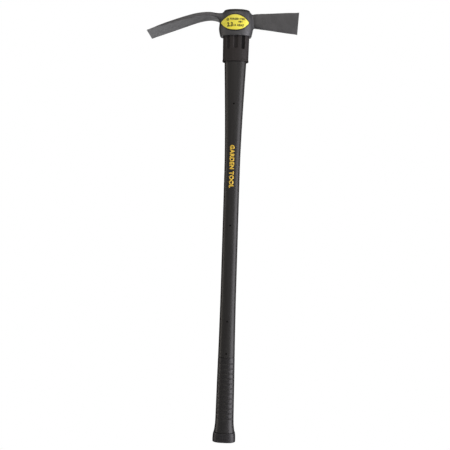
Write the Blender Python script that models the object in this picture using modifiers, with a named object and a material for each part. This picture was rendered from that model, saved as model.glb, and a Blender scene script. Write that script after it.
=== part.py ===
"""A garden mattock: a forged head with an adze and a cutter, slipped over a long fibreglass handle.

Metres, +Z up the handle, +X towards the cutter blade, -Y is the front, where the eye carries its label.
The origin is the centre of the butt's flat end, on the handle's axis.
The handle's top is a wedge that widens upwards, so the head slides off downwards, over the butt.
"""

from math import cos, pi, radians, sin

import bmesh
import bpy
from mathutils import Vector

COLLECTION = "garden_mattock"
CUTTERS = "cutters"

# ---- driving dimensions ----
LENGTH = 0.9144  # butt to handle top, a 36 inch handle
GAP = 0.0003  # between pieces that touch
PAST = 0.010  # how far a cutter runs past what it cuts
SQUARENESS = 2.3  # exponent of the oval sections: 2 is an ellipse, more is boxier
SIDES = 32  # facets round an oval section

# the butt cap
CAP_WIDTH, CAP_DEPTH = 0.0484, 0.0368
CAP_TOP_Z = 0.0195
CAP_FLOOR = 0.004
CAP_EDGE = 0.0012
CAP_SHOULDER_Z = 0.011
CAP_TAPER = (0.0013, 0.0009)  # how far its sides draw in above the shoulder

# the handle above it, as (height, half width, half depth)
HANDLE = [
    (CAP_TOP_Z + GAP, 0.0221, 0.0168),
    (0.0280, 0.0208, 0.0161),
    (0.0370, 0.0198, 0.0154),
    (0.0480, 0.0194, 0.0150),
    (0.1300, 0.0185, 0.0144),
    (0.2150, 0.0172, 0.0134),
    (0.3000, 0.0165, 0.0128),
    (0.5900, 0.0165, 0.0128),
    (0.6400, 0.0174, 0.0131),
    (0.6830, 0.0186, 0.0136),
    (0.7250, 0.0201, 0.0142),
    (0.7680, 0.0217, 0.0149),
    (0.8054, 0.0233, 0.0155),
]
GRIP_TOP_Z = 0.178
GRIP_WALL = 0.0022
GRIP_STEP = 0.0004  # height over which the jacket steps in under the grip
GROOVE_RADIUS, GROOVE_DEPTH = 0.0014, 0.0008
GROOVE_PITCH = 0.0106
GROOVE_FIRST_Z, GROOVES = 0.0490, 12
GROOVE_HALF_LENGTH = 0.0125
CORE_HALF_WIDTH, CORE_HALF_DEPTH = 0.0115, 0.0085
PIN_MARK_RADIUS, PIN_MARK_DEPTH = 0.0018, 0.0015
PIN_MARKS_Z = (0.187, 0.255, 0.458, 0.716)

# the collar and the wedge that the head sits on
COLLAR_BASE_Z = 0.8057
COLLAR_LIP = 0.0035  # height of the lip round the collar's foot
COLLAR_LIP_SLOPE = 0.0008
COLLAR_LIP_HALF_WIDTH, COLLAR_LIP_HALF_DEPTH = 0.0278, 0.0190
COLLAR_HALF_WIDTH, COLLAR_HALF_DEPTH = 0.02725, 0.0185
COLLAR_TOP_Z = 0.8930
EYE_BASE_Z, EYE_TOP_Z = 0.8590, 0.9095
WEDGE_BASE = (0.02795, 0.0191)  # half width and depth of the wedge at the eye's base
WEDGE_TOP = (0.0281, 0.0208)  # and at the eye's top
TOP_EDGE = 0.0020  # rounding of the handle's top
TOP_EDGE_SHARE = 0.3  # where the facet between its side and its top turns
TOP_SOCKET = 0.010
FLUTE_RADIUS, FLUTE_DEPTH = 0.0045, 0.0022
FLUTE_SPACING = 0.0158
FLUTE_FOOT_Z, MIDDLE_FLUTE_FOOT_Z = 0.8300, 0.8330

# the head: the eye's outside as (height, half width, half depth)
EYE = [
    (EYE_BASE_Z, 0.0320, 0.0233),
    (0.8680, 0.0340, 0.0248),
    (0.8770, 0.0356, 0.0260),
    (0.8920, 0.0348, 0.0266),
    (0.9030, 0.0330, 0.0259),
    (EYE_TOP_Z, 0.0306, 0.0240),
]
# the adze as (distance from the axis, height of its top, thickness, half width)
ADZE = [
    (0.0240, 0.9050, 0.0150, 0.0160),
    (0.0400, 0.9058, 0.0105, 0.0200),
    (0.0550, 0.9067, 0.0070, 0.0225),
    (0.0700, 0.9056, 0.0069, 0.0248),
    (0.0900, 0.9011, 0.0075, 0.0278),
    (0.1200, 0.8905, 0.0068, 0.0317),
    (0.1500, 0.8787, 0.0050, 0.0350),
    (0.1730, 0.8686, 0.0022, 0.0371),
    (0.1861, 0.8622, 0.0003, 0.0380),
]
# the cutter as (distance from the axis, its bottom, its top, half thickness)
CUTTER = [
    (0.0220, 0.8782, 0.9056, 0.0090),
    (0.0360, 0.8797, 0.9065, 0.0082),
    (0.0600, 0.8766, 0.9083, 0.0066),
    (0.0900, 0.8721, 0.9106, 0.0045),
    (0.1180, 0.8678, 0.9127, 0.0022),
    (0.1306, 0.8660, 0.9136, 0.00015),
]
CUTTER_EDGE_LEAN = 0.0028  # the edge's top corner stands this much further out

# the label on the front of the eye
LABEL_Z = 0.8851
LABEL_HALF_HEIGHT = 0.0176
LABEL_TIP = 1.05  # over 1 by how blunt its two tips are
LABEL_ENDS = (radians(-66), radians(51))  # how far it reaches round the eye, from its middle
LABEL_THICKNESS = 0.0003
LABEL_GAP = 0.0005  # the facets under it stand a little proud of the true curve


def wedge(z):
    """Half width and half depth of the handle's wedge at a height."""
    t = (z - EYE_BASE_Z) / (EYE_TOP_Z - EYE_BASE_Z)
    return tuple(a + (b - a) * t for a, b in zip(WEDGE_BASE, WEDGE_TOP))


def size_at(stations, z):
    """Half width and half depth between the two stations around a height."""
    for (z0, *low), (z1, *high) in zip(stations, stations[1:]):
        if z <= z1:
            t = (z - z0) / (z1 - z0)
            return tuple(a + (b - a) * t for a, b in zip(low, high))
    return tuple(stations[-1][1:])


def between(stations, low, high, inset=0.0):
    """The stations between two heights, with one added at each end, drawn in all round by inset."""
    heights = [low] + [z for z, *_ in stations if low < z < high] + [high]
    return [(z, *(side - inset for side in size_at(stations, z))) for z in heights]


def past_ends(stations):
    """The stations of a bore, carried on past both ends so that its cutter leaves no skin."""
    first, last = stations[0], stations[-1]
    return [(first[0] - PAST, *first[1:]), *stations, (last[0] + PAST, *last[1:])]


def oval_point(half_width, half_depth, angle):
    """A point on the boxy oval that every section of the handle and the eye follows."""
    c, s = cos(angle), sin(angle)
    power = 2 / SQUARENESS
    return (
        half_width * abs(c) ** power * (1 if c >= 0 else -1),
        half_depth * abs(s) ** power * (1 if s >= 0 else -1),
    )


def oval_side(half_width, half_depth, x):
    """The point of the boxy oval's upper half at x, and the direction straight out of it."""
    across = abs(x) / half_width
    up = (1 - across**SQUARENESS) ** (1 / SQUARENESS)
    outward = Vector((across ** (SQUARENESS - 1) / half_width, up ** (SQUARENESS - 1) / half_depth))
    if x < 0:
        outward.x *= -1
    return Vector((x, up * half_depth)), outward.normalized()


def make_material(name, color, roughness, metallic=0.0):
    material = bpy.data.materials.new(name)
    material.use_nodes = True
    shader = material.node_tree.nodes["Principled BSDF"]
    shader.inputs["Base Color"].default_value = (*color, 1.0)
    shader.inputs["Roughness"].default_value = roughness
    shader.inputs["Metallic"].default_value = metallic
    return material


def add_object(name, bm, material=None, collection=COLLECTION):
    """Store a mesh as an object, smooth where its faces nearly line up."""
    bmesh.ops.recalc_face_normals(bm, faces=bm.faces)
    mesh = bpy.data.meshes.new(name)
    bm.to_mesh(mesh)
    bm.free()
    mesh.shade_smooth()
    mesh.set_sharp_from_angle(angle=pi / 6)
    obj = bpy.data.objects.new(name, mesh)
    bpy.data.collections[collection].objects.link(obj)
    if material:
        mesh.materials.append(material)
    else:
        obj.hide_render = True
        obj.display_type = "WIRE"
    return obj


def oval_bar(stations):
    """A solid bar of oval section: a cylinder cut across at each station and drawn to its size."""
    bm = bmesh.new()
    bmesh.ops.create_cone(bm, cap_ends=True, segments=SIDES, radius1=1, radius2=1, depth=1)
    low, high = stations[0][0], stations[-1][0]
    bmesh.ops.scale(bm, vec=(1, 1, high - low), verts=bm.verts)
    bmesh.ops.translate(bm, vec=(0, 0, (low + high) / 2), verts=bm.verts)
    for z, *_ in stations[1:-1]:
        geometry = bm.verts[:] + bm.edges[:] + bm.faces[:]
        bmesh.ops.bisect_plane(bm, geom=geometry, plane_co=(0, 0, z), plane_no=(0, 0, 1))
    for vert in bm.verts:
        half_width, half_depth = size_at(stations, vert.co.z)
        angle = Vector(vert.co.xy).angle_signed(Vector((1, 0)))
        vert.co.x, vert.co.y = oval_point(half_width, half_depth, angle)
    return bm


def block(stations, place):
    """A bar cut across at each station; place(station, side, level) puts its corners, each -1 or 1."""
    bm = bmesh.new()
    bmesh.ops.create_cube(bm, size=2)
    last = len(stations) - 1
    for number in range(1, last):
        geometry = bm.verts[:] + bm.edges[:] + bm.faces[:]
        across = (2 * number / last - 1, 0, 0)
        bmesh.ops.bisect_plane(bm, geom=geometry, plane_co=across, plane_no=(1, 0, 0))
    for vert in bm.verts:
        number = round((vert.co.x + 1) * last / 2)
        vert.co = place(stations[number], round(vert.co.y), round(vert.co.z))
    return bm


def cylinder(radius, start, end, segments):
    """A cylinder between two points."""
    bm = bmesh.new()
    start, end = Vector(start), Vector(end)
    turn = Vector((0, 0, 1)).rotation_difference(end - start).to_matrix()
    bmesh.ops.create_cone(
        bm, cap_ends=True, segments=segments, radius1=radius, radius2=radius, depth=(end - start).length
    )
    bmesh.ops.rotate(bm, cent=(0, 0, 0), matrix=turn, verts=bm.verts)
    bmesh.ops.translate(bm, vec=(start + end) / 2, verts=bm.verts)
    return bm


def capsule(radius, foot, height, segments):
    """An upright bar with round ends, from a ball whose upper half is lifted; foot is its lowest point."""
    bm = bmesh.new()
    bmesh.ops.create_uvsphere(bm, u_segments=segments, v_segments=segments // 2, radius=radius)
    bmesh.ops.translate(bm, vec=Vector(foot) + Vector((0, 0, radius)), verts=bm.verts)
    middle = foot[2] + radius
    upper = [vert for vert in bm.verts if vert.co.z > middle + GAP]
    bmesh.ops.translate(bm, vec=(0, 0, height - 2 * radius), verts=upper)
    return bm


def combine(obj, operation, tool):
    modifier = obj.modifiers.new(tool.name, "BOOLEAN")
    modifier.operation = operation
    modifier.solver = "EXACT"
    modifier.object = tool


def cut(obj, name, bm):
    combine(obj, "DIFFERENCE", add_object(name, bm, collection=CUTTERS))


def butt_cap():
    """The flared moulded cap on the handle's end, with a socket for the handle."""
    half_width, half_depth = CAP_WIDTH / 2, CAP_DEPTH / 2
    stations = [
        (0.0, half_width - CAP_EDGE, half_depth - CAP_EDGE),
        (CAP_EDGE, half_width, half_depth),
        (CAP_SHOULDER_Z, half_width, half_depth),
        (CAP_TOP_Z, half_width - CAP_TAPER[0], half_depth - CAP_TAPER[1]),
    ]
    rubber = make_material("black_cap_rubber", (0.018, 0.017, 0.018), 0.42)
    cap = add_object("butt_cap", oval_bar(stations), rubber)
    neck = [side - GRIP_WALL for side in HANDLE[0][1:]]
    cut(cap, "cap_socket", oval_bar([(CAP_FLOOR, *neck), (CAP_TOP_Z + PAST, *neck)]))
    return cap


def grip_sleeve():
    """The rubber grip round the jacket's lower end, with finger grooves across its front and back."""
    rubber = make_material("black_grip_rubber", (0.022, 0.020, 0.019), 0.6)
    sleeve = add_object("grip_sleeve", oval_bar(between(HANDLE, HANDLE[0][0], GRIP_TOP_Z)), rubber)
    cut(sleeve, "grip_bore", oval_bar(past_ends(between(HANDLE, HANDLE[0][0], GRIP_TOP_Z, GRIP_WALL))))
    for number in range(GROOVES):
        z = GROOVE_FIRST_Z + number * GROOVE_PITCH
        half_depth = size_at(HANDLE, z)[1]
        for side in (-1, 1):
            y = side * (half_depth + GROOVE_RADIUS - GROOVE_DEPTH)
            ends = [(x, y, z) for x in (-GROOVE_HALF_LENGTH, GROOVE_HALF_LENGTH)]
            cut(sleeve, f"groove_{number}_{side}", cylinder(GROOVE_RADIUS, *ends, segments=8))
    return sleeve


def handle_jacket():
    """The plastic jacket over the fibreglass core, thinner where the grip and the cap go over it."""
    step = GRIP_WALL + GAP
    lower = [(CAP_FLOOR + GAP, *(side - step for side in HANDLE[0][1:]))]
    lower += between(HANDLE, HANDLE[0][0], GRIP_TOP_Z + GAP, inset=step)
    shoulder = GRIP_TOP_Z + GAP
    upper = between(HANDLE, shoulder + GRIP_STEP, HANDLE[-1][0])
    top = (COLLAR_TOP_Z, *HANDLE[-1][1:])
    plastic = make_material("black_polypropylene", (0.033, 0.032, 0.031), 0.5)
    jacket = add_object("handle_jacket", oval_bar(lower + upper + [top]), plastic)
    bore = [(0.0, CORE_HALF_WIDTH + GAP, CORE_HALF_DEPTH + GAP)]
    bore.append((COLLAR_TOP_Z + PAST, *bore[0][1:]))
    cut(jacket, "jacket_bore", oval_bar(bore))
    for z in PIN_MARKS_Z:
        half_depth = size_at(HANDLE, z)[1]
        for side in (-1, 1):
            inner = (0, side * (half_depth - PIN_MARK_DEPTH), z)
            outer = (0, side * (half_depth + PAST), z)
            cut(jacket, f"pin_mark_{z}_{side}", cylinder(PIN_MARK_RADIUS, inner, outer, segments=10))
    return jacket


def fibreglass_core():
    """The solid fibreglass rod that runs the handle's whole length."""
    low, high = CAP_FLOOR + GAP, COLLAR_TOP_Z + TOP_SOCKET
    fibreglass = make_material("fibreglass", (0.60, 0.50, 0.28), 0.45)
    section = (CORE_HALF_WIDTH, CORE_HALF_DEPTH)
    return add_object("fibreglass_core", oval_bar([(low, *section), (high, *section)]), fibreglass)


def eye_collar():
    """The fluted collar that fills the eye round the jacket and stands out below it."""
    lip = (COLLAR_LIP_HALF_WIDTH, COLLAR_LIP_HALF_DEPTH)
    stations = [
        (COLLAR_BASE_Z, *lip),
        (COLLAR_BASE_Z + COLLAR_LIP, *lip),
        (COLLAR_BASE_Z + COLLAR_LIP + COLLAR_LIP_SLOPE, COLLAR_HALF_WIDTH, COLLAR_HALF_DEPTH),
        (EYE_BASE_Z, *WEDGE_BASE),
        (COLLAR_TOP_Z, *wedge(COLLAR_TOP_Z)),
    ]
    plastic = make_material("black_collar_plastic", (0.036, 0.033, 0.032), 0.45)
    collar = add_object("eye_collar", oval_bar(stations), plastic)
    bore = [side + GAP for side in HANDLE[-1][1:]]
    cut(collar, "collar_bore", oval_bar(past_ends([(COLLAR_BASE_Z, *bore), (COLLAR_TOP_Z, *bore)])))
    for number in (-1, 0, 1):
        surface, outward = oval_side(*WEDGE_BASE, number * FLUTE_SPACING)
        centre = surface + outward * (FLUTE_RADIUS - FLUTE_DEPTH)
        foot = FLUTE_FOOT_Z if number else MIDDLE_FLUTE_FOOT_Z
        height = COLLAR_TOP_Z + PAST - foot
        for side in (-1, 1):
            place = (centre.x, side * centre.y, foot)
            cut(collar, f"flute_{number}_{side}", capsule(FLUTE_RADIUS, place, height, segments=12))
    return collar


def top_cap():
    """The cap on the handle's top, standing a little above the eye, with a socket for the core."""
    low = COLLAR_TOP_Z + GAP
    side_top = wedge(EYE_TOP_Z)
    turn = TOP_EDGE * TOP_EDGE_SHARE
    stations = [
        (low, *wedge(low)),
        (EYE_TOP_Z, *side_top),
        (LENGTH - TOP_EDGE, *side_top),
        (LENGTH - turn, *(side - turn for side in side_top)),
        (LENGTH, *(side - TOP_EDGE for side in side_top)),
    ]
    plastic = make_material("black_top_plastic", (0.02, 0.02, 0.02), 0.4)
    cap = add_object("top_cap", oval_bar(stations), plastic)
    socket = (CORE_HALF_WIDTH + GAP, CORE_HALF_DEPTH + GAP)
    cut(cap, "top_socket", oval_bar([(low - PAST, *socket), (COLLAR_TOP_Z + TOP_SOCKET + GAP, *socket)]))
    return cap


def place_adze(station, side, level):
    distance, top, thickness, half_width = station
    height = top if level > 0 else top - thickness
    return Vector((-distance, side * half_width, height))


def place_cutter(station, side, level):
    distance, bottom, top, half_thickness = station
    lean = CUTTER_EDGE_LEAN / 2 * level if station is CUTTER[-1] else 0.0
    return Vector((distance + lean, side * half_thickness, top if level > 0 else bottom))


def mattock_head():
    """The forged head: an oval eye with an adze on one side and a cutter on the other."""
    steel = make_material("coated_forged_steel", (0.10, 0.10, 0.10), 0.45, metallic=0.3)
    head = add_object("mattock_head", oval_bar(EYE), steel)
    combine(head, "UNION", add_object("adze_blade", block(ADZE, place_adze), collection=CUTTERS))
    combine(head, "UNION", add_object("cutter_blade", block(CUTTER, place_cutter), collection=CUTTERS))
    base, top = ([side + GAP for side in size] for size in (WEDGE_BASE, WEDGE_TOP))
    cut(head, "eye_bore", oval_bar(past_ends([(EYE_BASE_Z, *base), (EYE_TOP_Z, *top)])))
    return head


def eye_label():
    """The vinyl label wrapped round the front of the eye, a lens shape."""
    columns, rows = 20, 8
    bm = bmesh.new()
    bmesh.ops.create_grid(bm, x_segments=columns, y_segments=rows, size=1)
    first, last = LABEL_ENDS
    left, right = (oval_point(size_at(EYE, LABEL_Z)[0], 0, angle - pi / 2)[0] for angle in LABEL_ENDS)
    for vert in bm.verts:
        angle = first + (last - first) * (vert.co.x + 1) / 2 - pi / 2
        x = oval_point(size_at(EYE, LABEL_Z)[0], 0, angle)[0]
        across = (2 * x - left - right) / (right - left)
        z = LABEL_Z + vert.co.y * LABEL_HALF_HEIGHT * (LABEL_TIP - across**2)
        half_width, half_depth = (side + LABEL_GAP for side in size_at(EYE, z))
        vert.co = (*oval_point(half_width, half_depth, angle), z)
    vinyl = make_material("yellow_vinyl", (0.87, 0.78, 0.09), 0.3)
    label = add_object("eye_label", bm, vinyl)
    shell = label.modifiers.new("thickness", "SOLIDIFY")
    shell.thickness = LABEL_THICKNESS
    shell.offset = 1
    return label


def clear_scene():
    for obj in list(bpy.data.objects):
        bpy.data.objects.remove(obj)
    for name in (COLLECTION, CUTTERS):
        bpy.context.scene.collection.children.link(bpy.data.collections.new(name))


clear_scene()
butt_cap()
grip_sleeve()
handle_jacket()
fibreglass_core()
eye_collar()
top_cap()
mattock_head()
eye_label()
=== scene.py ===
"""The looks of a garden mattock: a dark coated forging on a black plastic handle with a fibreglass core.

Metres, +Z up the handle, +X towards the cutter blade, -Y is the front, where the eye carries its label.
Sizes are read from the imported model: a finished surface is drawn through the outlines where planes cut
a CAD node.
"""

from functools import lru_cache
from math import cos, hypot, pi, radians, sin, tau

import bmesh
import bpy
import numpy as np
from mathutils import Matrix, Vector


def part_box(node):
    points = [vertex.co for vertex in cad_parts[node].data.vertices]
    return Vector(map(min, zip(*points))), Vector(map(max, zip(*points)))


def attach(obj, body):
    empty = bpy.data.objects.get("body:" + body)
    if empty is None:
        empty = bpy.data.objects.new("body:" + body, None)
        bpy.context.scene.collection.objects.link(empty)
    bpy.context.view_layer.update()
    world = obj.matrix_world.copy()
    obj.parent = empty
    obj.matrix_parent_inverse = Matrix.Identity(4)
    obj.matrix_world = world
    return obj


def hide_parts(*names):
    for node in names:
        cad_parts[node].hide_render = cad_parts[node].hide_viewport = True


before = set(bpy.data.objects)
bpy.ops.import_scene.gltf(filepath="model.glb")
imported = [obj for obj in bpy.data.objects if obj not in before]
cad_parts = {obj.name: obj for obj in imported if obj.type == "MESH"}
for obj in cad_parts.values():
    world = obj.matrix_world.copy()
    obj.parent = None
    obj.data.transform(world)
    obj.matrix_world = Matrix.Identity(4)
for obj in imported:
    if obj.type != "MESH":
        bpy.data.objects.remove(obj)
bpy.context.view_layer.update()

MM = 0.001

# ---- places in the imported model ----
_, cap_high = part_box("butt_cap")
grip_low, grip_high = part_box("grip_sleeve")
jacket_low, jacket_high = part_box("handle_jacket")
collar_low, collar_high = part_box("eye_collar")
top_low, top_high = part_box("top_cap")
_, core_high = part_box("fibreglass_core")
head_low, head_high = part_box("mattock_head")
label_low, label_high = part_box("eye_label")

SQUARENESS = 2.3  # exponent of the handle's oval sections: 2 is an ellipse, more is boxier
FIT = 0.3 * MM  # clearance between neighbouring pieces
HAIR = 0.01 * MM  # how far inside a node's end its last section is read
EYE_BASE_Z = head_low.z
EYE_TOP_Z = 909.5 * MM


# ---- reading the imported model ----
@lru_cache
def edge_ends(node):
    """The two ends of every edge of a CAD node."""
    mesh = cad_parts[node].data
    places = np.array([vertex.co for vertex in mesh.vertices])
    ends = places[np.array([edge.vertices[:] for edge in mesh.edges])]
    return ends[:, 0], ends[:, 1]


def section(node, axis, at):
    """Lowest and highest corner of the outline where a plane across an axis cuts a CAD node."""
    a, b = edge_ends(node)
    crossing = ((a[:, axis] - at) * (b[:, axis] - at) <= 0) & (a[:, axis] != b[:, axis])
    a, b = a[crossing], b[crossing]
    share = ((at - a[:, axis]) / (b[:, axis] - a[:, axis]))[:, None]
    points = a + (b - a) * share
    return Vector(points.min(0)), Vector(points.max(0))


def oval_at(node, z, soften=0.0):
    """(z, half width, half depth) of a CAD node's level section, averaged with those within soften of it."""
    a, b = edge_ends(node)
    low, high = a[:, 2].min() + HAIR, a[:, 2].max() - HAIR
    heights = [min(max(z + step * soften, low), high) for step in (-1, -0.5, 0, 0.5, 1)]
    corners = [section(node, 2, height)[1] for height in heights]
    return (z, sum(c.x for c in corners) / len(corners), sum(c.y for c in corners) / len(corners))


def carried_on(first, second, z):
    """The section at height z on the straight taper through two others."""
    share = (z - first[0]) / (second[0] - first[0])
    return tuple(a + (b - a) * share for a, b in zip(first, second))


# ---- modelling ----
def select_only(obj):
    bpy.ops.object.select_all(action="DESELECT")
    bpy.context.view_layer.objects.active = obj
    obj.select_set(True)


def edit(obj):
    """Open one object in edit mode with nothing selected."""
    select_only(obj)
    bpy.ops.object.mode_set(mode="EDIT")
    bpy.ops.mesh.select_all(action="DESELECT")


def done():
    """Leave edit mode."""
    bpy.ops.object.mode_set(mode="OBJECT")


def pick_faces(obj, test):
    """In edit mode, select the faces whose middle and normal pass a test."""
    bpy.ops.mesh.select_mode(type="FACE")
    bpy.ops.mesh.select_all(action="DESELECT")
    bm = bmesh.from_edit_mesh(obj.data)
    for face in bm.faces:
        face.select_set(test(face.calc_center_median(), face.normal))
    bmesh.update_edit_mesh(obj.data)


def selected_box(obj):
    """Lowest and highest corner of the selected vertices."""
    bm = bmesh.from_edit_mesh(obj.data)
    places = [vertex.co for vertex in bm.verts if vertex.select]
    return (Vector(min(p[i] for p in places) for i in range(3)),
            Vector(max(p[i] for p in places) for i in range(3)))


def apply_modifier(obj, kind, **settings):
    modifier = obj.modifiers.new(kind.lower(), kind)
    for name, value in settings.items():
        setattr(modifier, name, value)
    select_only(obj)
    bpy.ops.object.modifier_apply(modifier=modifier.name)


def subdivide_smooth(obj, levels):
    apply_modifier(obj, "SUBSURF", levels=levels, render_levels=levels)


def shade(obj, angle=35):
    """Shade smooth, but keep edges sharper than an angle in degrees."""
    select_only(obj)
    bpy.ops.object.shade_smooth_by_angle(angle=radians(angle))


def oval_ring(name, sides, station, squareness=SQUARENESS):
    """A ring of edges in the boxy oval that all the handle's sections follow, left open in edit mode.

    It is drawn larger by as much as subdivision will draw it in.
    """
    z, half_width, half_depth = station
    spare = 3 / (2 + cos(tau / sides))
    half_width, half_depth = half_width * spare, half_depth * spare
    bpy.ops.mesh.primitive_circle_add(vertices=sides, radius=1, fill_type="NOTHING")
    obj = bpy.context.object
    obj.name = obj.data.name = name
    for vertex in obj.data.vertices:
        x, y = vertex.co.x, vertex.co.y
        stretch = (abs(x) ** squareness + abs(y) ** squareness) ** (-1 / squareness)
        vertex.co = (x * stretch * half_width, y * stretch * half_depth, z)
    edit(obj)
    bpy.ops.mesh.select_all(action="SELECT")
    return obj


def draw_ring(stations):
    """Extrude the selected ring through the other stations, drawing it to each one's size."""
    for (z0, width0, depth0), (z, width, depth) in zip(stations, stations[1:]):
        bpy.ops.mesh.extrude_region_move(TRANSFORM_OT_translate={"value": (0, 0, z - z0)})
        bpy.ops.transform.resize(value=(width / width0, depth / depth0, 1), center_override=(0, 0, z))


STRAIGHT = radians(20)  # a profile that turns less than this has no corner to cut back
MOST_CUT = 0.4  # share of a profile's straight that one corner may take


def eased(stations, radius, closed=False):
    """The stations with each corner of their profile cut back by radius, for subdivision to round."""
    count = len(stations)
    result = []
    for i, here in enumerate(stations):
        if not closed and i in (0, count - 1):
            result.append(here)
            continue
        before, after = stations[i - 1], stations[(i + 1) % count]
        one = Vector(here[:2]) - Vector(before[:2])
        two = Vector(after[:2]) - Vector(here[:2])
        if one.angle(two) < STRAIGHT:
            result.append(here)
            continue
        for other, length in ((before, one.length), (after, two.length)):
            share = min(radius / length, MOST_CUT)
            result.append(tuple(a + (b - a) * share for a, b in zip(here, other)))
    return result


def bridge_open_ends():
    """Join the two open ends of a ring of wall."""
    bpy.ops.mesh.select_mode(type="EDGE")
    bpy.ops.mesh.select_all(action="DESELECT")
    bpy.ops.mesh.select_non_manifold()
    bpy.ops.mesh.bridge_edge_loops()


def face_outwards():
    bpy.ops.mesh.select_all(action="SELECT")
    bpy.ops.mesh.normals_make_consistent(inside=False)


def tube(name, sides, stations):
    """A closed ring of wall: the stations run up its outside and down its inside."""
    obj = oval_ring(name, sides, stations[0])
    draw_ring(stations)
    bridge_open_ends()
    return finish_turned(obj)


def turned(name, sides, stations, squareness=SQUARENESS):
    """A solid whose first and last stations are filled, for a cap or a cup."""
    obj = oval_ring(name, sides, stations[0], squareness)
    draw_ring(stations)
    bpy.ops.mesh.select_all(action="SELECT")
    bpy.ops.mesh.fill_holes(sides=0)
    return finish_turned(obj)


def finish_turned(obj):
    face_outwards()
    done()
    subdivide_smooth(obj, 2)
    shade(obj)
    return obj


def mark_painted_shade(obj, shares):
    """Keep how deep each vertex lies in a hollow, 0 to 1, for the material to darken as painted shade."""
    hollow_shade = obj.data.attributes.new("hollow_shade", "FLOAT", "POINT")
    hollow_shade.data.foreach_set("value", shares)
    obj.data.update()


def press_in(obj, depth_at, deepest):
    """Push each vertex inwards along its normal by depth_at(place), and keep the square of its share of
    deepest for the painted shade.
    """
    depths = [depth_at(vertex.co) for vertex in obj.data.vertices]
    moves = [vertex.normal * depth for vertex, depth in zip(obj.data.vertices, depths)]
    for vertex, move in zip(obj.data.vertices, moves):
        vertex.co -= move
    mark_painted_shade(obj, [(depth / deepest) ** 2 for depth in depths])


def smooth_step(share):
    """A share clamped to 0..1 and eased at both ends."""
    share = min(max(share, 0), 1)
    return share * share * (3 - 2 * share)


def belongs(obj, body, slot, material, *nodes):
    """Give a finished piece its material and body, and hide the CAD nodes that it stands for. The slot is
    not used.
    """
    obj.data.materials.clear()
    obj.data.materials.append(material)
    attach(obj, body)
    if nodes:
        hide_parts(*nodes)
    return obj


# ---- materials ----
def colour(code):
    """An sRGB hex colour as linear RGBA."""
    values = [int(code[i:i + 2], 16) / 255 for i in (1, 3, 5)]
    return (*(v / 12.92 if v <= 0.04045 else ((v + 0.055) / 1.055) ** 2.4 for v in values), 1.0)


def new_material(name):
    material = bpy.data.materials.new(name)
    material.use_nodes = True
    tree = material.node_tree
    return material, tree, tree.nodes["Principled BSDF"]


def add(tree, kind, inputs=None, **settings):
    """Add a node with its settings; each input is a value or the socket to link to it."""
    node = tree.nodes.new(kind)
    for name, value in settings.items():
        setattr(node, name, value)
    for name, value in (inputs or {}).items():
        if isinstance(value, bpy.types.NodeSocket):
            tree.links.new(value, node.inputs[name])
        else:
            node.inputs[name].default_value = value
    return node


def ramp(tree, source, low, high, first, last):
    """A colour that runs from first, where source is low, to last, where it is high."""
    node = add(tree, "ShaderNodeValToRGB", {"Fac": source})
    for element, place, code in zip(node.color_ramp.elements, (low, high), (first, last)):
        element.position = place
        element.color = colour(code)
    return node.outputs["Color"]


def noise(tree, size, stretch=(1, 1, 1), detail=3.0, roughness=0.55):
    """Noise on object coordinates whose largest features are about size metres, drawn out by stretch."""
    place = add(tree, "ShaderNodeTexCoord").outputs["Object"]
    scaled = add(tree, "ShaderNodeMapping", {"Vector": place, "Scale": tuple(1 / s for s in stretch)})
    node = add(tree, "ShaderNodeTexNoise", {
        "Vector": scaled.outputs["Vector"], "Scale": 1 / size, "Detail": detail, "Roughness": roughness})
    return node.outputs["Fac"]


def spread(tree, source, low, high):
    """A value moved from the noise's middle range to low..high."""
    node = add(tree, "ShaderNodeMapRange", {
        "Value": source, "From Min": 0.3, "From Max": 0.7, "To Min": low, "To Max": high})
    return node.outputs["Result"]


def bump(tree, height, distance, strength, under=None):
    """A normal raised by height times distance metres, on top of the normal under it."""
    inputs = {"Height": height, "Distance": distance, "Strength": strength}
    if under:
        inputs["Normal"] = under
    return add(tree, "ShaderNodeBump", inputs).outputs["Normal"]


def coated_forged_steel():
    """Drop-forged carbon steel under a thin dark grey lacquer: satin, with the die's and scale's roughness
    showing through, and lighter where the coat has rubbed thin on edges. The scale is drawn about twice as
    coarse as it is, so that it shows."""
    material, tree, shader = new_material("lacquered_forged_steel")
    patches = noise(tree, 22 * MM, detail=5)
    coat = ramp(tree, patches, 0.35, 0.68, "#404041", "#49494a")
    worn = add(tree, "ShaderNodeNewGeometry").outputs["Pointiness"]
    edges = add(tree, "ShaderNodeMapRange", {
        "Value": worn, "From Min": 0.53, "From Max": 0.62, "To Min": 0.0, "To Max": 0.55})
    mixed = add(tree, "ShaderNodeMix", {"Factor": edges.outputs["Result"]}, data_type="RGBA")
    tree.links.new(coat, mixed.inputs["A"])
    mixed.inputs["B"].default_value = colour("#8a8a89")
    tree.links.new(mixed.outputs["Result"], shader.inputs["Base Color"])
    shader.inputs["Metallic"].default_value = 0.2
    shader.inputs["Specular IOR Level"].default_value = 0.8
    scale = noise(tree, 2.2 * MM, detail=4, roughness=0.6)
    tree.links.new(spread(tree, scale, 0.42, 0.60), shader.inputs["Roughness"])
    hammered = bump(tree, noise(tree, 11 * MM, detail=2), 0.9 * MM, 0.7)
    ground = bump(tree, noise(tree, 0.7 * MM, stretch=(30, 1, 1.6), detail=3), 0.12 * MM, 0.45, hammered)
    tree.links.new(bump(tree, scale, 0.25 * MM, 0.8, ground), shader.inputs["Normal"])
    return material


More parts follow.
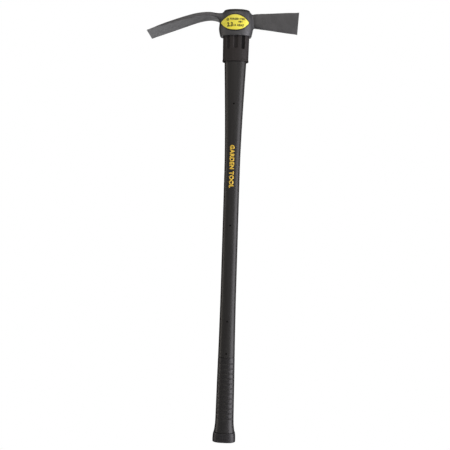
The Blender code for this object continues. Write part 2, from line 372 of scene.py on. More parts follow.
def paint_shade_in_hollows(tree, shader, source, share):
    """Colour the shader from source, with shade painted in: a share of each pressed-in place goes nearly
    black and dull.
    """
    hollow_shade = add(tree, "ShaderNodeAttribute", attribute_name="hollow_shade").outputs["Fac"]
    hollow_shade = add(tree, "ShaderNodeMath", {0: hollow_shade, 1: share}, operation="MULTIPLY").outputs[0]
    mixed = add(tree, "ShaderNodeMix", {"Factor": hollow_shade}, data_type="RGBA")
    tree.links.new(source, mixed.inputs["A"])
    # painted shade: the near-black that a hollow's floor is mixed towards
    mixed.inputs["B"].default_value = colour("#151414")
    tree.links.new(mixed.outputs["Result"], shader.inputs["Base Color"])
    # painted shade on the highlights: the specular level drops in the hollows
    shaded_specular = add(tree, "ShaderNodeMapRange", {"Value": hollow_shade, "To Min": 0.5, "To Max": 0.12})
    tree.links.new(shaded_specular.outputs["Result"], shader.inputs["Specular IOR Level"])


def moulded_plastic(name, dark, light, roughness, grain, shaded_hollows=True):
    """Injection-moulded black plastic: a satin skin with a fine sparked grain and faint flow marks that run
    along the handle. The grain is drawn about five times as coarse as it is, so that it shows."""
    material, tree, shader = new_material(name)
    flow = noise(tree, 6 * MM, stretch=(1, 1, 18), detail=4)
    shade_of_black = ramp(tree, flow, 0.35, 0.7, dark, light)
    # shade painted into the pressed-in places, fully
    if shaded_hollows:
        paint_shade_in_hollows(tree, shader, shade_of_black, 1.0)
    else:
        tree.links.new(shade_of_black, shader.inputs["Base Color"])
    skin = noise(tree, grain, detail=2)
    tree.links.new(spread(tree, skin, roughness - 0.05, roughness + 0.06), shader.inputs["Roughness"])
    waves = bump(tree, flow, 0.06 * MM, 0.5)
    tree.links.new(bump(tree, skin, 0.05 * MM, 0.35, waves), shader.inputs["Normal"])
    shader.inputs["IOR"].default_value = 1.44
    return material


def moulded_rubber(name, dark, light, roughness, shaded_hollows=True):
    """Thermoplastic rubber: darker and softer than the jacket, with a finely pitted skin and dusty wear.
    The pits are drawn several times as coarse as they are, so that they show."""
    material, tree, shader = new_material(name)
    wear = noise(tree, 14 * MM, stretch=(1, 1, 2), detail=5)
    shade_of_black = ramp(tree, wear, 0.35, 0.72, dark, light)
    # shade painted into the pressed-in places, at about a third
    if shaded_hollows:
        paint_shade_in_hollows(tree, shader, shade_of_black, 0.35)
    else:
        tree.links.new(shade_of_black, shader.inputs["Base Color"])
    pits = noise(tree, 0.9 * MM, detail=2)
    tree.links.new(spread(tree, pits, roughness - 0.06, roughness + 0.08), shader.inputs["Roughness"])
    tree.links.new(bump(tree, pits, 0.06 * MM, 0.4), shader.inputs["Normal"])
    shader.inputs["IOR"].default_value = 1.52
    return material


def pultruded_fibreglass():
    """Glass rovings drawn through resin: pale straw, with strands that run the length of the rod, drawn as
    coarse as whole bundles of them."""
    material, tree, shader = new_material("pultruded_fibreglass")
    strands = noise(tree, 0.8 * MM, stretch=(1, 1, 60), detail=4)
    tree.links.new(ramp(tree, strands, 0.35, 0.65, "#a8935a", "#d8cb96"), shader.inputs["Base Color"])
    tree.links.new(spread(tree, strands, 0.35, 0.55), shader.inputs["Roughness"])
    tree.links.new(bump(tree, strands, 0.05 * MM, 0.5), shader.inputs["Normal"])
    shader.inputs["IOR"].default_value = 1.54
    return material


def printed_vinyl():
    """Satin yellow vinyl with a printed black border; the UV map runs 0 to 1 across and up the label."""
    material, tree, shader = new_material("printed_vinyl")
    place = add(tree, "ShaderNodeUVMap").outputs["UV"]
    axes = add(tree, "ShaderNodeSeparateXYZ", {"Vector": place})

    def calculated(operation, *values):
        return add(tree, "ShaderNodeMath", dict(enumerate(values)), operation=operation).outputs[0]

    across = calculated("ABSOLUTE", calculated("MULTIPLY_ADD", axes.outputs["X"], 2.0, -1.0))
    up = calculated("ABSOLUTE", calculated("MULTIPLY_ADD", axes.outputs["Y"], 2.0, -1.0))
    upper, lower = LABEL_CURVES
    curve = calculated("MULTIPLY_ADD", calculated("LESS_THAN", axes.outputs["Y"], 0.5), lower - upper, upper)
    height = calculated("SUBTRACT", LABEL_TIP, calculated("POWER", across, curve))
    height = calculated("MULTIPLY", height, LABEL_HALF_HEIGHT / LABEL_TIP / MM)
    from_side = calculated("MULTIPLY", calculated("SUBTRACT", 1.0, up), height)
    from_end = calculated("MULTIPLY", calculated("SUBTRACT", 1.0, across), LABEL_ARC / MM)
    nearest = calculated("MINIMUM", from_side, from_end)
    border = calculated("LESS_THAN", nearest, LABEL_BORDER / MM)
    yellow = ramp(tree, noise(tree, 7 * MM, detail=3), 0.3, 0.7, "#fff04a", "#fff65e")
    mixed = add(tree, "ShaderNodeMix", {"Factor": border}, data_type="RGBA")
    tree.links.new(yellow, mixed.inputs["A"])
    mixed.inputs["B"].default_value = colour("#0d0c0a")
    tree.links.new(mixed.outputs["Result"], shader.inputs["Base Color"])
    peel = noise(tree, 1.5 * MM, detail=2)
    tree.links.new(spread(tree, peel, 0.40, 0.52), shader.inputs["Roughness"])
    tree.links.new(bump(tree, peel, 0.03 * MM, 0.3), shader.inputs["Normal"])
    shader.inputs["IOR"].default_value = 1.5
    return material


def pad_print(name, thin, full):
    """Printed ink: a little uneven, and thinner in places, where what is under it shows through."""
    material, tree, shader = new_material(name)
    cover = noise(tree, 1.2 * MM, detail=4)
    tree.links.new(ramp(tree, cover, 0.30, 0.55, thin, full), shader.inputs["Base Color"])
    tree.links.new(spread(tree, cover, 0.6, 0.45), shader.inputs["Roughness"])
    tree.links.new(bump(tree, cover, 0.03 * MM, 0.4), shader.inputs["Normal"])
    return material


# ---- the head ----
HEAD_SIDES = 28
EYE_OUTSIDE = [  # z, half width, half depth
    (EYE_BASE_Z, 31.6 * MM, 22.9 * MM),
    (EYE_BASE_Z + 1.2 * MM, 32.4 * MM, 23.6 * MM),
    (868.0 * MM, 34.2 * MM, 24.9 * MM),
    (878.5 * MM, 35.6 * MM, 26.1 * MM),
    (888.0 * MM, 35.2 * MM, 26.6 * MM),
    (897.5 * MM, 34.2 * MM, 26.4 * MM),
    (906.3 * MM, 32.4 * MM, 25.3 * MM),
    (908.6 * MM, 31.2 * MM, 24.5 * MM),
    (EYE_TOP_Z, 30.2 * MM, 23.6 * MM),
]
BORE_RINGS = (EYE_TOP_Z, EYE_TOP_Z - 1 * MM, 893 * MM, 876 * MM, EYE_BASE_Z + 1 * MM, EYE_BASE_Z)
CUTTER_ROOT = (EYE_OUTSIDE[3][0], EYE_OUTSIDE[6][0], 8 * MM)  # lowest, highest and half width of its root
ADZE_ROOT = (EYE_OUTSIDE[4][0], EYE_OUTSIDE[6][0], 18.5 * MM)
CUTTER_STATIONS = [x * MM for x in (39, 46, 56, 68, 82, 97, 110, 120, 126)]
ADZE_STATIONS = [-x * MM for x in (39, 46, 54, 64, 75, 88, 102, 117, 132, 147, 160, 171, 179)]
THINNEST = 0.9 * MM  # the blades' edges as sold, before they are filed sharp
CUTTER_EDGE_FOOT_X = 129.2 * MM
CUTTER_FOOT_DROP = 0.4 * MM  # how far the edge's foot drops below the last section
HEEL = 1.7 * MM  # how much further the eye's foot reaches on the adze side
HEEL_FROM = 28.5 * MM  # what lies this far out on that side belongs to the heel
CUTTER_SWELL = 1.4 * MM  # what smoothing takes off the blade's soft root
BLADE_CREASE = 0.75  # how sharp the blades' long corners are kept, away from the eye
CREASE_FADE = (36 * MM, 62 * MM)  # how far out along X those corners start to sharpen, and are sharpest
RIM_CREASE = 0.6  # how sharp the rim of the eye's top is kept
RIM_REACH = 32 * MM  # how far out along X that rim goes
NEAR = 0.5 * MM  # corners this near the eye's top or foot are its rims
SHARP_FROM = (-165 * MM, 117 * MM)  # past these the blades' ends are kept fully sharp


def draw_out(obj, x, low, high):
    """Extrude the selected faces to a plane at x and draw their outline to the corners low and high."""
    bpy.ops.mesh.extrude_region_move()
    now_low, now_high = selected_box(obj)
    size, middle = now_high - now_low, (now_low + now_high) / 2
    target = Vector((x, (low.y + high.y) / 2, (low.z + high.z) / 2))
    bpy.ops.transform.translate(value=target - middle)
    across, up = (high.y - low.y) / size.y, (high.z - low.z) / size.z
    bpy.ops.transform.resize(value=(0, across, up), center_override=target)


def blade_section(x):
    """The CAD head's outline at x, no thinner either way than an unsharpened edge."""
    low, high = section("mattock_head", 0, x)
    for axis in (1, 2):
        lack = max(THINNEST - (high[axis] - low[axis]), 0) / 2
        low[axis] -= lack
        high[axis] += lack
    return low, high


def forged_head():
    """One forging: the eye is drawn up as rings, and the blades are drawn out of its two ends."""
    bore_top = (EYE_TOP_Z, *(side + FIT for side in oval_at("top_cap", EYE_TOP_Z)[1:]))
    bore_base = (EYE_BASE_Z, *(side + FIT for side in carried_on(COLLAR_LOW, COLLAR_MID, EYE_BASE_Z)[1:]))
    rings = [*EYE_OUTSIDE, *(carried_on(bore_base, bore_top, z) for z in BORE_RINGS)]
    head = oval_ring("forged_head", HEAD_SIDES, rings[0])
    draw_ring(rings)
    bridge_open_ends()
    face_outwards()
    push_out_heel(head)
    draw_cutter(head)
    draw_adze(head)
    crease_corners(head)
    done()
    subdivide_smooth(head, 3)
    shade(head, 50)
    return head


def push_out_heel(head):
    """Move the eye's foot out on the adze side, where the forging is fuller than an oval."""
    bm = bmesh.from_edit_mesh(head.data)
    for vertex in bm.verts:
        if vertex.co.x < -HEEL_FROM and vertex.co.z < EYE_OUTSIDE[4][0]:
            vertex.co.x -= HEEL * (vertex.co.x / -EYE_OUTSIDE[0][1]) ** 2
    bmesh.update_edit_mesh(head.data)


def pick_root(head, side, root):
    """Select the eye's outer faces that a blade grows from, on the side +1 or -1 along X."""
    low_z, high_z, reach = root
    pick_faces(head, lambda middle, normal: (
        middle.x * side > 20 * MM and normal.x * side > 0
        and low_z < middle.z < high_z and abs(middle.y) < reach))


def draw_cutter(head):
    """The blade in line with the handle, down to its thin edge, which leans."""
    pick_root(head, 1, CUTTER_ROOT)
    for x in CUTTER_STATIONS:
        low, high = blade_section(x)
        middle = (low + high) / 2
        swell = CUTTER_SWELL * (1 - head_crease(middle) / BLADE_CREASE)
        low.z -= swell
        high.z += swell
        draw_out(head, x, low, high)
    edge_low = blade_section(CUTTER_STATIONS[-1])[0].z - CUTTER_FOOT_DROP
    edge_high = head_high.z
    edge_x = (head_high.x + CUTTER_EDGE_FOOT_X) / 2
    draw_out(head, edge_x, Vector((0, -THINNEST / 2, edge_low)), Vector((0, THINNEST / 2, edge_high)))
    lean = (head_high.x - CUTTER_EDGE_FOOT_X) / (edge_high - edge_low)
    bm = bmesh.from_edit_mesh(head.data)
    for vertex in bm.verts:
        if vertex.select:
            vertex.co.x += (vertex.co.z - (edge_high + edge_low) / 2) * lean


def draw_adze(head):
    """The blade across the handle, which curves down as the CAD head does."""
    pick_root(head, -1, ADZE_ROOT)
    for x in ADZE_STATIONS:
        draw_out(head, x, *blade_section(x))
    draw_out(head, head_low.x, *blade_section(head_low.x + 5 * HAIR))


def crease_corners(head):
    """Keep the forging's corners from being smoothed away."""
    bpy.ops.mesh.select_mode(type="EDGE")
    bpy.ops.mesh.select_all(action="DESELECT")
    bpy.ops.mesh.edges_select_sharp(sharpness=radians(40))
    bm = bmesh.from_edit_mesh(head.data)
    crease = bm.edges.layers.float.get("crease_edge") or bm.edges.layers.float.new("crease_edge")
    for edge in bm.edges:
        if edge.select:
            edge[crease] = head_crease((edge.verts[0].co + edge.verts[1].co) / 2)
    bmesh.update_edit_mesh(head.data)


def head_crease(place):
    """How sharp a corner of the forging is kept: fully at the blades' ends, fading towards the eye."""
    adze_end, cutter_end = SHARP_FROM
    if place.x > cutter_end or place.x < adze_end or place.z < EYE_BASE_Z + NEAR:
        return 1.0
    if place.z > EYE_TOP_Z - NEAR and abs(place.x) < RIM_REACH:
        return RIM_CREASE
    start, full = CREASE_FADE
    return BLADE_CREASE * smooth_step((abs(place.x) - start) / (full - start))


# ---- the handle ----
HANDLE_SIDES = 32
JACKET_RINGS = 50  # between the grip and the collar
JACKET_RINGS_TOP_Z = 795 * MM
JACKET_SOFTEN = 14 * MM  # reach of the averaging that rounds the CAD jacket's facets
PIN_HEIGHTS = [z * MM for z in (187, 255, 458, 716)]  # marks left by the mould's ejector pins
PIN_RADIUS = 1.9 * MM
PIN_DEPTH = 1.2 * MM

GRIP_WALL = 2.2 * MM
GRIP_INSIDE = (15 * MM, 11 * MM)  # half width and half depth that only the inner wall lies within
GRIP_RING_STEP = 2.1 * MM
GROOVE_PITCH = 10.6 * MM
GROOVE_COUNT = 12
GROOVE_FIRST_Z = 49 * MM
GROOVE_HALF_WIDTH = 2.1 * MM
GROOVE_DEPTH = 0.9 * MM
GROOVE_FADE = (15.0 * MM, 17.2 * MM)  # from the first x to the second, a groove dies out

CAP_SQUARENESS = 2.8  # the butt is boxier than the handle
CAP_SIDE = (0.8 * MM, 11 * MM)  # lowest and highest z of its upright side
SOCKET_FLOOR_Z = 4 * MM
SOCKET_MIDDLE = 0.3  # share of a socket's floor that is filled in one face

TOP_DOME = (  # share of the top's outline, drop below its highest point in MM
    (0.985, 1.1), (0.95, 0.45), (0.88, 0.15), (0.6, 0.02), (0.15, 0.0))

COLLAR_LOW = oval_at("eye_collar", collar_low.z + 5 * MM)
COLLAR_MID = oval_at("eye_collar", collar_low.z + 25 * MM)
COLLAR_LIP = 3.5 * MM
COLLAR_RINGS_FROM_Z = 812 * MM
COLLAR_RING_STEP = 2.2 * MM
FLUTE_DEPTH = 2.3 * MM  # of the deepest one
FLUTE_FLOOR = 1.6  # over 1 by how much of a flute is flat floor
FLUTES = [  # x, lowest z, radius, depth
    (-15.8 * MM, 830.5 * MM, 3.9 * MM, 1.6 * MM),
    (0.0, 832.0 * MM, 5.0 * MM, 1.5 * MM),
    (15.8 * MM, 830.5 * MM, 3.9 * MM, FLUTE_DEPTH),
]


def path_of(node, heights, soften):
    return [oval_at(node, z, soften) for z in heights]


def handle_jacket():
    """The long jacket, from its hidden foot in the butt cap to its top inside the collar."""
    below_grip_top = grip_high.z - 2 * MM
    outside = path_of("handle_jacket", (jacket_low.z, 60 * MM, 120 * MM, below_grip_top), 1 * MM)
    outside.append((grip_high.z + 0.2 * MM, *oval_at("handle_jacket", below_grip_top)[1:]))
    shoulder = grip_high.z + 0.7 * MM  # above this the CAD jacket stands out to the grip's size
    first_ring, second_ring = grip_high.z + 0.4 * MM, grip_high.z + 1.5 * MM
    for z in (first_ring, *np.linspace(second_ring, JACKET_RINGS_TOP_Z, JACKET_RINGS)):
        read_at = max(z, shoulder)
        outside.append((z, *oval_at("handle_jacket", read_at, min(JACKET_SOFTEN, read_at - shoulder))[1:]))
    outside += path_of("handle_jacket", (collar_low.z, jacket_high.z), 2 * MM)
    bore = [side + FIT for side in core_high.xy]
    inside = [(jacket_high.z, *bore), (450 * MM, *bore), (jacket_low.z, *bore)]
    jacket = tube("jacket", HANDLE_SIDES, eased(outside + inside, 0.5 * MM, closed=True))
    sink_pins(jacket)
    shade(jacket, 40)
    return jacket


def sink_pins(jacket):
    """Cut the round pin marks into the jacket's front and back, and mark their floors for painted shade."""
    surfaces = [(z, oval_at("handle_jacket", z)[2]) for z in PIN_HEIGHTS]
    pins = []
    for z, surface in surfaces:
        for side in (-1, 1):
            bpy.ops.mesh.primitive_cylinder_add(
                vertices=24, radius=PIN_RADIUS, depth=2 * PIN_DEPTH, rotation=(pi / 2, 0, 0),
                location=(0, side * surface, z))
            pins.append(bpy.context.object)
    for pin in pins:
        pin.select_set(True)
    bpy.ops.object.join()
    cutter = bpy.context.object
    apply_modifier(jacket, "BOOLEAN", operation="DIFFERENCE", solver="EXACT", object=cutter)
    bpy.data.objects.remove(cutter)

    def on_floor(place):
        return any(hypot(place.x, place.z - z) < 1.1 * PIN_RADIUS
                   and 0.5 < (surface - abs(place.y)) / PIN_DEPTH < 1.1 for z, surface in surfaces)

    # painted shade on the floor of each pin mark
    mark_painted_shade(jacket, [float(on_floor(vertex.co)) for vertex in jacket.data.vertices])


def groove(place):
    """How deep the grip's grooves go at a place."""
    if hypot(place.x / GRIP_INSIDE[0], place.y / GRIP_INSIDE[1]) < 1:
        return 0.0
    number = round((place.z - GROOVE_FIRST_Z) / GROOVE_PITCH)
    away = abs(place.z - GROOVE_FIRST_Z - number * GROOVE_PITCH)
    if not 0 <= number < GROOVE_COUNT or away > GROOVE_HALF_WIDTH:
        return 0.0
    full, none = GROOVE_FADE
    fade = smooth_step((none - abs(place.x)) / (none - full))
    return GROOVE_DEPTH * (1 + cos(pi * away / GROOVE_HALF_WIDTH)) / 2 * fade


def grip_sleeve():
    """The grip, with grooves across its front and back that die out before its sides."""
    rings = int((grip_high.z - grip_low.z) / GRIP_RING_STEP)
    outside = path_of("grip_sleeve", np.linspace(grip_low.z, grip_high.z, rings), 3 * MM)
    kept = sorted({*range(0, rings, 12), rings - 1}, reverse=True)  # the inside needs fewer rings
    inside = [(z, width - GRIP_WALL, depth - GRIP_WALL) for z, width, depth in (outside[i] for i in kept)]
    sleeve = tube("grip", HANDLE_SIDES, eased(outside + inside, 0.2 * MM, closed=True))
    # painted shade in the grooves, deepest at their middles
    press_in(sleeve, groove, GROOVE_DEPTH)
    return sleeve


def butt_cap():
    """The flared cap: its flat end first, up its side, and down into the socket."""
    _, width, depth = oval_at("butt_cap", 6 * MM)
    _, neck_width, neck_depth = oval_at("butt_cap", cap_high.z)
    socket = [side + FIT for side in oval_at("handle_jacket", jacket_low.z + 1 * MM)[1:]]
    stations = [(0.0, width * share, depth * share) for share in (0.15, 0.6, 0.975)]
    stations += [(0.2 * MM, width * 0.99, depth * 0.99)]
    stations += [(z, width, depth) for z in CAP_SIDE]
    stations += [(cap_high.z, neck_width, neck_depth), (cap_high.z, *socket), (SOCKET_FLOOR_Z, *socket)]
    stations += [(SOCKET_FLOOR_Z, *(side * SOCKET_MIDDLE for side in socket))]
    return turned("butt", HANDLE_SIDES, eased(stations, 0.2 * MM), CAP_SQUARENESS)


def eye_collar():
    """The collar under the eye, with three flutes down its front and three down its back."""
    lip = oval_at("eye_collar", collar_low.z + 1 * MM)
    wedge_base = carried_on(COLLAR_LOW, COLLAR_MID, EYE_BASE_Z)
    wedge_top = oval_at("top_cap", top_low.z + 0.1 * MM)
    lip_top = collar_low.z + COLLAR_LIP
    outside = [(collar_low.z, *lip[1:]), (lip_top, *lip[1:]), (lip_top + 0.7 * MM, *COLLAR_LOW[1:])]
    heights = np.arange(COLLAR_RINGS_FROM_Z, EYE_BASE_Z, COLLAR_RING_STEP)
    outside += [carried_on(COLLAR_LOW, wedge_base, z) for z in heights]
    outside += [wedge_base, carried_on(wedge_base, wedge_top, EYE_BASE_Z + 6 * MM)]
    outside.append((collar_high.z, *wedge_top[1:]))
    bore = [side + FIT for side in oval_at("handle_jacket", collar_low.z + 20 * MM)[1:]]
    inside = [(collar_high.z, *bore), (850 * MM, *bore), (collar_low.z, *bore)]
    collar = tube("collar", 3 * HANDLE_SIDES, eased(outside + inside, 0.5 * MM, closed=True))
    _, width, depth = wedge_base

    def flute(place):
        """How deep the flutes go at a place: flat in the middle, round at the sides and the foot."""
        if hypot(place.x / bore[0], place.y / bore[1]) < 1.06:  # the inner wall
            return 0.0
        deepest = 0.0
        for x, foot, radius, full_depth in FLUTES:
            surface = depth * (1 - abs(x / width) ** SQUARENESS) ** (1 / SQUARENESS)
            below = max(foot + radius - place.z, 0)
            away = hypot(place.x - x, (abs(place.y) - surface) * 0.5, below) / radius
            deepest = max(deepest, full_depth * min(FLUTE_FLOOR * (1 - away**2), 1))
        return deepest

    # painted shade in the flutes, darkest on their floors
    press_in(collar, flute, FLUTE_DEPTH)
    return collar


def top_cap():
    """The handle's top: its socket first, then up its side and in over its slightly domed top."""
    low = oval_at("top_cap", top_low.z + 0.05 * MM)
    side = oval_at("top_cap", EYE_TOP_Z)
    edge = oval_at("top_cap", top_high.z - 2.1 * MM)
    socket = [half + FIT for half in core_high.xy]
    roof = core_high.z + FIT
    stations = [(roof, *(half * SOCKET_MIDDLE for half in socket)), (roof, *socket)]
    stations += [(low[0], *socket), low, side, edge]
    for share, drop in TOP_DOME:
        stations.append((top_high.z - drop * MM, edge[1] * share, edge[2] * share))
    return turned("handle_top", HANDLE_SIDES, eased(stations, 0.5 * MM))


# ---- label and printing ----
LABEL_HALF_HEIGHT = (label_high.z - label_low.z) / 2
LABEL_MIDDLE = (label_high + label_low) / 2
LABEL_HALF_WIDTH = (label_high.x - label_low.x) / 2
LABEL_ENDS = (radians(-66), radians(51))  # how far it reaches round the eye to each side
LABEL_TIP = 1.10  # over 1 by how blunt its two tips are
LABEL_CURVES = (2.0, 2.8)  # exponents of its upper and lower outline: the lower one is fuller
LABEL_ARC = 40 * MM  # half its length along the eye's curve
LABEL_BORDER = 2.6 * MM
LETTER_HEIGHT = 1.18  # how much taller than usual the label's letters are
LABEL_WORDS = [  # words, letter size, weight, x, z
    ("FORGED STEEL", 4.5 * MM, 0.045, 3.2 * MM, 891.0 * MM),
    ("2.3", 9.6 * MM, 0.045, -12.6 * MM, 879.4 * MM),
    ("LB", 5.0 * MM, 0.025, -2.6 * MM, 878.0 * MM),
    ("NET", 4.6 * MM, 0.045, 9.6 * MM, 885.0 * MM),
    ("HEAD", 5.2 * MM, 0.045, 9.6 * MM, 878.0 * MM),
    ("O", 7.4 * MM, 0.01, -17.6 * MM, 890.0 * MM),
    ("+", 5.0 * MM, 0.03, -17.6 * MM, 890.2 * MM),
]
HANDLE_WORDS = ("GARDEN TOOL", 12.1 * MM, 0.05, -1.1 * MM, 583.2 * MM)
FILM = 0.06 * MM  # thickness of the print


def eye_label(head):
    """A lens-shaped label laid on the eye's curved front."""
    bpy.ops.mesh.primitive_grid_add(x_subdivisions=72, y_subdivisions=30, size=2)
    label = bpy.context.object
    label.name = label.data.name = "label"
    first, last = LABEL_ENDS
    _, width, depth = EYE_OUTSIDE[4]
    power = 2 / SQUARENESS
    for vertex in label.data.vertices:
        angle = first + (last - first) * (vertex.co.x + 1) / 2
        x = width * abs(sin(angle)) ** power * (1 if angle > 0 else -1)
        across = (x - LABEL_MIDDLE.x) / LABEL_HALF_WIDTH
        curve = LABEL_CURVES[vertex.co.y < 0]
        height = (LABEL_TIP - abs(across) ** curve) / LABEL_TIP * (1 - min(abs(across), 0.999) ** 16) ** 0.5
        z = LABEL_MIDDLE.z + vertex.co.y * LABEL_HALF_HEIGHT * height
        vertex.co = (x, -depth * cos(angle) ** power - 1 * MM, z)
    apply_modifier(label, "SHRINKWRAP", target=head, offset=0.15 * MM, wrap_mode="ABOVE_SURFACE")
    apply_modifier(label, "SOLIDIFY", thickness=0.2 * MM, offset=1)
    shade(label, 40)
    return label


def lettering(name, words, size, weight, place, target, cuts, lift):
    """Words as a thin printed film that follows a surface: cut in strips first, so that it can bend.

    The weight is how much bolder than the plain font they are, as a share of their size.
    """
    bpy.ops.object.text_add()
    text = bpy.context.object
    text.data.body = words
    text.data.size = size
    text.data.align_x = text.data.align_y = "CENTER"
    text.data.offset = size * weight
    text.data.space_character = 1 + 1.7 * weight
    bpy.ops.object.convert(target="MESH")
    film = bpy.context.object
    film.name = film.data.name = name
    film.matrix_world = place
    bpy.ops.object.transform_apply(location=True, rotation=True, scale=True)
    edit(film)
    for point, normal in cuts:
        bpy.ops.mesh.select_all(action="SELECT")
        bpy.ops.mesh.bisect(plane_co=point, plane_no=normal)
    bpy.ops.mesh.select_all(action="SELECT")
    bpy.ops.mesh.remove_doubles(threshold=0.005 * MM)
    done()
    apply_modifier(film, "SHRINKWRAP", target=target, wrap_method="PROJECT", use_project_y=True,
                   use_negative_direction=True, use_positive_direction=True, offset=lift,
                   wrap_mode="ABOVE_SURFACE")
    apply_modifier(film, "SOLIDIFY", thickness=FILM, offset=1)
    return film


def strips(axis, low, high, step):
    """Planes across an axis, a step apart."""
    normal = Vector((axis == 0, axis == 1, axis == 2))
    return [(normal * at, normal) for at in np.arange(low, high, step)]


def handle_lettering(jacket):
    """Letters that read down the handle, their tops towards the cutter."""
    words, size, weight, x, z = HANDLE_WORDS
    down = Matrix(((0, 1, 0, x), (0, 0, -1, -20 * MM), (-1, 0, 0, z), (0, 0, 0, 1)))
    cuts = strips(0, -9 * MM, 9 * MM, 1.2 * MM)
    return lettering("handle_lettering", words, size, weight, down, jacket, cuts, 0.05 * MM)


def label_prints(label):
    """The label's black print, word by word."""
    cuts = strips(0, -30 * MM, 30 * MM, 1.5 * MM) + strips(2, 860 * MM, 905 * MM, 3 * MM)
    for words, size, weight, x, z in LABEL_WORDS:
        upright = Matrix(((1, 0, 0, x), (0, 0, -1, -40 * MM), (0, LETTER_HEIGHT, 0, z), (0, 0, 0, 1)))
        yield lettering("label_print", words, size, weight, upright, label, cuts, 0.03 * MM)


# ---- the studio ----
TOOL_MIDDLE_Z = 459 * MM
CAMERA_DISTANCE = 1.63
CAMERA_AZIMUTH = radians(3.1)
CAMERA_ROLL = radians(1.77)
CAMERA_SIDESTEP = 11.5 * MM
LENS = 61.27
FLOOR_Z = -160 * MM
FLOOR_RADIUS = 420 * MM
ROOM_BRIGHTNESS = 0.40  # of the room in front of the tool; it fades to nothing behind
ROOM_LIGHT = (  # height from floor 0 to ceiling 1, share of that brightness
    (0.0, 0.05), (0.3, 0.25), (0.5, 0.80), (0.68, 1.15), (0.9, 0.3))
SOFT_BOXES = (  # name, place, aimed at, width, height, watts, tint, beam in degrees
    ("right_box", (1.19, -0.53, 0.24), (0, 0, 0.5), 1.1, 2.0, 29, "#fbf8ff", 180),
    ("left_box", (-1.48, -0.26, 0.45), (0, 0, 0.5), 0.2, 1.8, 8, "#fff6ee", 180),
    ("top_box", (0.05, -1.25, 1.75), (0, 0, 0.7), 0.7, 0.5, 5.2, "#fff6ee", 180),
    ("adze_box", (-0.30, -0.12, 0.30), (-0.20, 0, 0.87), 0.12, 0.10, 0.13, "#ffffff", 26),
    ("back_box", (0, 1.8, 1.1), (0, 0, 0.5), 1.6, 1.6, 16, "#ffffff", 180),
)


def camera():
    """The camera in front of the tool, at the height of its middle, turned and tilted a little."""
    data = bpy.data.cameras.new("camera")
    data.lens = LENS
    obj = bpy.data.objects.new("camera", data)
    bpy.context.scene.collection.objects.link(obj)
    back = Vector((sin(CAMERA_AZIMUTH), -cos(CAMERA_AZIMUTH), 0))
    level = Vector((cos(CAMERA_AZIMUTH), sin(CAMERA_AZIMUTH), 0))
    up = Vector((0, 0, 1))
    right = level * cos(CAMERA_ROLL) + up * sin(CAMERA_ROLL)
    top = up * cos(CAMERA_ROLL) - level * sin(CAMERA_ROLL)
    place = Vector((0, 0, TOOL_MIDDLE_Z)) + back * CAMERA_DISTANCE - level * CAMERA_SIDESTEP
    obj.matrix_world = Matrix((
        (right.x, top.x, back.x, place.x), (right.y, top.y, back.y, place.y),
        (right.z, top.z, back.z, place.z), (0, 0, 0, 1)))
    bpy.context.scene.camera = obj


def soft_box(name, place, aim, width, height, watts, tint, beam):
    """A rectangular light at a place, facing a point."""
    data = bpy.data.lights.new(name, "AREA")
    data.shape = "RECTANGLE"
    data.size, data.size_y = width, height
    data.energy = watts
    data.color = colour(tint)[:3]
    data.spread = radians(beam)
    obj = bpy.data.objects.new(name, data)
    bpy.context.scene.collection.objects.link(obj)
    obj.visible_camera = False
    obj.location = place
    obj.rotation_mode = "QUATERNION"
    obj.rotation_quaternion = (Vector(aim) - Vector(place)).to_track_quat("-Z", "Y")


def white_room():
    """A room whose glow lights the tool from the front, seen by the camera as plain white paper."""
    world = bpy.data.worlds.new("white_room")
    bpy.context.scene.world = world
    world.use_nodes = True
    tree = world.node_tree
    tree.nodes.clear()
    way = add(tree, "ShaderNodeTexCoord").outputs["Generated"]
    axes = add(tree, "ShaderNodeSeparateXYZ", {"Vector": way})
    front = add(tree, "ShaderNodeMapRange", {
        "Value": axes.outputs["Y"], "From Min": -0.6, "From Max": 0.2,
        "To Min": ROOM_BRIGHTNESS, "To Max": 0.0})
    rise = add(tree, "ShaderNodeMapRange", {"Value": axes.outputs["Z"], "From Min": -1.0, "From Max": 1.0})
    height = add(tree, "ShaderNodeValToRGB", {"Fac": rise.outputs["Result"]})
    stops = height.color_ramp.elements
    while len(stops) < len(ROOM_LIGHT):
        stops.new(0.5)
    for stop, (place, value) in zip(stops, ROOM_LIGHT):
        stop.position = place
        stop.color = (value, value, value, 1)
    glow = add(tree, "ShaderNodeMath", {0: front.outputs[0], 1: height.outputs[0]}, operation="MULTIPLY")
    room = add(tree, "ShaderNodeBackground", {"Color": (1, 1, 1, 1), "Strength": glow.outputs[0]})
    paper = add(tree, "ShaderNodeBackground", {"Color": (1, 1, 1, 1), "Strength": 1.0})
    seen = add(tree, "ShaderNodeLightPath").outputs["Is Camera Ray"]
    mixed = add(tree, "ShaderNodeMixShader", {0: seen, 1: room.outputs[0], 2: paper.outputs[0]})
    add(tree, "ShaderNodeOutputWorld", {"Surface": mixed.outputs[0]})


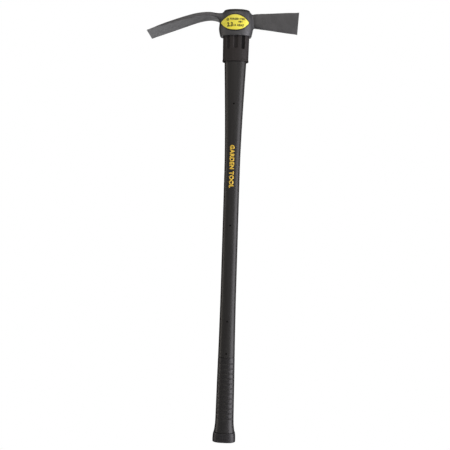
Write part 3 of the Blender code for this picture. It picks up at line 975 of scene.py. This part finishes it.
def white_board():
    """The floor, a round board below the tool."""
    bpy.ops.mesh.primitive_circle_add(
        vertices=96, radius=FLOOR_RADIUS, fill_type="NGON", location=(0, 0, FLOOR_Z))
    floor = bpy.context.object
    floor.name = "floor"
    material, tree, shader = new_material("matt_white_board")
    patches = noise(tree, 80 * MM, detail=2)
    tree.links.new(ramp(tree, patches, 0.3, 0.7, "#f1f1ef", "#f6f6f4"), shader.inputs["Base Color"])
    shader.inputs["Roughness"].default_value = 0.9
    floor.data.materials.append(material)


# ---- putting it together ----
steel = coated_forged_steel()
# The jacket, collar and grip have shade painted into their pressed-in places; the top and the butt cap have
# none.
jacket_plastic = moulded_plastic("moulded_polypropylene", "#242221", "#2b2a28", 0.42, 0.5 * MM)
collar_plastic = moulded_plastic("moulded_nylon", "#272221", "#2d2928", 0.66, 0.6 * MM)
top_plastic = moulded_plastic("moulded_nylon_top", "#131313", "#191919", 0.42, 0.6 * MM, shaded_hollows=False)
grip_rubber = moulded_rubber("grip_rubber", "#1a1818", "#211f1f", 0.42)
cap_rubber = moulded_rubber("cap_rubber", "#191719", "#1f1d1f", 0.46, shaded_hollows=False)
golden_ink = pad_print("golden_ink", "#dcaa2a", "#f2cc48")
black_ink = pad_print("black_ink", "#1c1a14", "#0b0a07")

head = belongs(forged_head(), "head", "coated_steel", steel, "mattock_head")
label = belongs(eye_label(head), "head", "label_vinyl", printed_vinyl(), "eye_label")
jacket = belongs(handle_jacket(), "handle", "jacket_plastic", jacket_plastic, "handle_jacket")
belongs(grip_sleeve(), "handle", "grip_rubber", grip_rubber, "grip_sleeve")
belongs(butt_cap(), "handle", "cap_rubber", cap_rubber, "butt_cap")
belongs(eye_collar(), "handle", "black_plastic", collar_plastic, "eye_collar")
belongs(top_cap(), "handle", "black_plastic", top_plastic, "top_cap")
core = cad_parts["fibreglass_core"]
core.data.materials.clear()
core.data.materials.append(pultruded_fibreglass())
belongs(handle_lettering(jacket), "handle", "label_vinyl", golden_ink)
for film in label_prints(label):
    belongs(film, "head", "label_vinyl", black_ink)

camera()
white_room()
for box in SOFT_BOXES:
    soft_box(*box)
white_board()
bpy.context.scene.view_settings.view_transform = "Standard"
